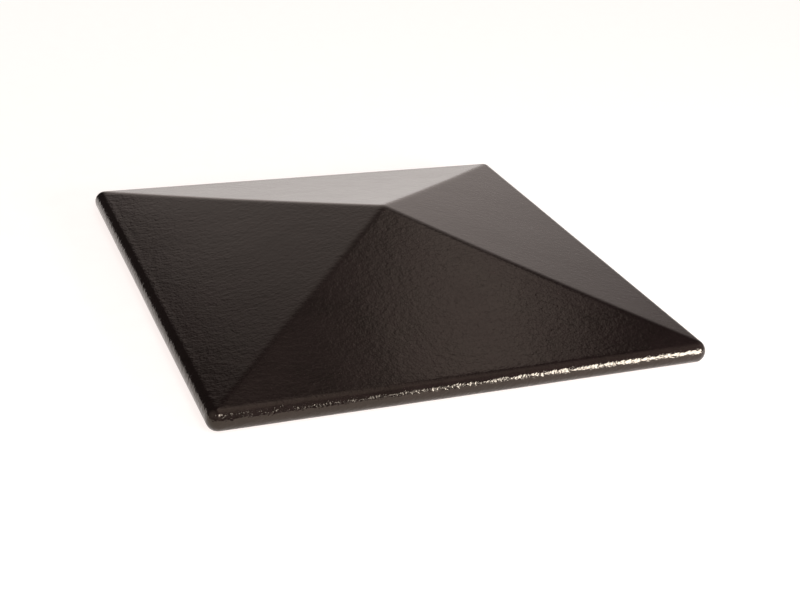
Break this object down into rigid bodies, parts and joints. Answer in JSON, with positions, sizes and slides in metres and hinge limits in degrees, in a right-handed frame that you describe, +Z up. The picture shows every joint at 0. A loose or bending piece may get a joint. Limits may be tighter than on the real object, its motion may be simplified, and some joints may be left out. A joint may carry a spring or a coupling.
{
  "type": "fence post cap",
  "caption": "Square low-pyramid cap of glazed stoneware with a bullnose rim, hollow underneath, that sheds rain from a masonry fence post and is tied down by a threaded socket.",
  "frame": {"origin": "centre of the cap, in the plane of the post's top face on which its pads and strips rest", "axes": "+Z up along the cap's axis to its tip, +X along the front rim to the right, +Y to the back"},
  "size_m": [0.445, 0.445, 0.079],
  "materials": {
    "glaze": "glossy",
    "fired_clay": "matte",
    "stainless": "brushed",
    "resin": "matte",
    "pad_rubber": "matte",
    "strip_foam": "matte"
  },
  "bodies": {
    "root": {"clay_body": "fired_clay", "glaze_coat": "glaze", "anchor_socket": "stainless", "socket_resin": "resin", "setting_pad_front_left": "pad_rubber", "setting_pad_front_right": "pad_rubber", "setting_pad_back_right": "pad_rubber", "setting_pad_back_left": "pad_rubber", "bedding_strip_front": "strip_foam", "bedding_strip_right": "strip_foam", "bedding_strip_back": "strip_foam", "bedding_strip_left": "strip_foam"}
  },
  "joints": []
}
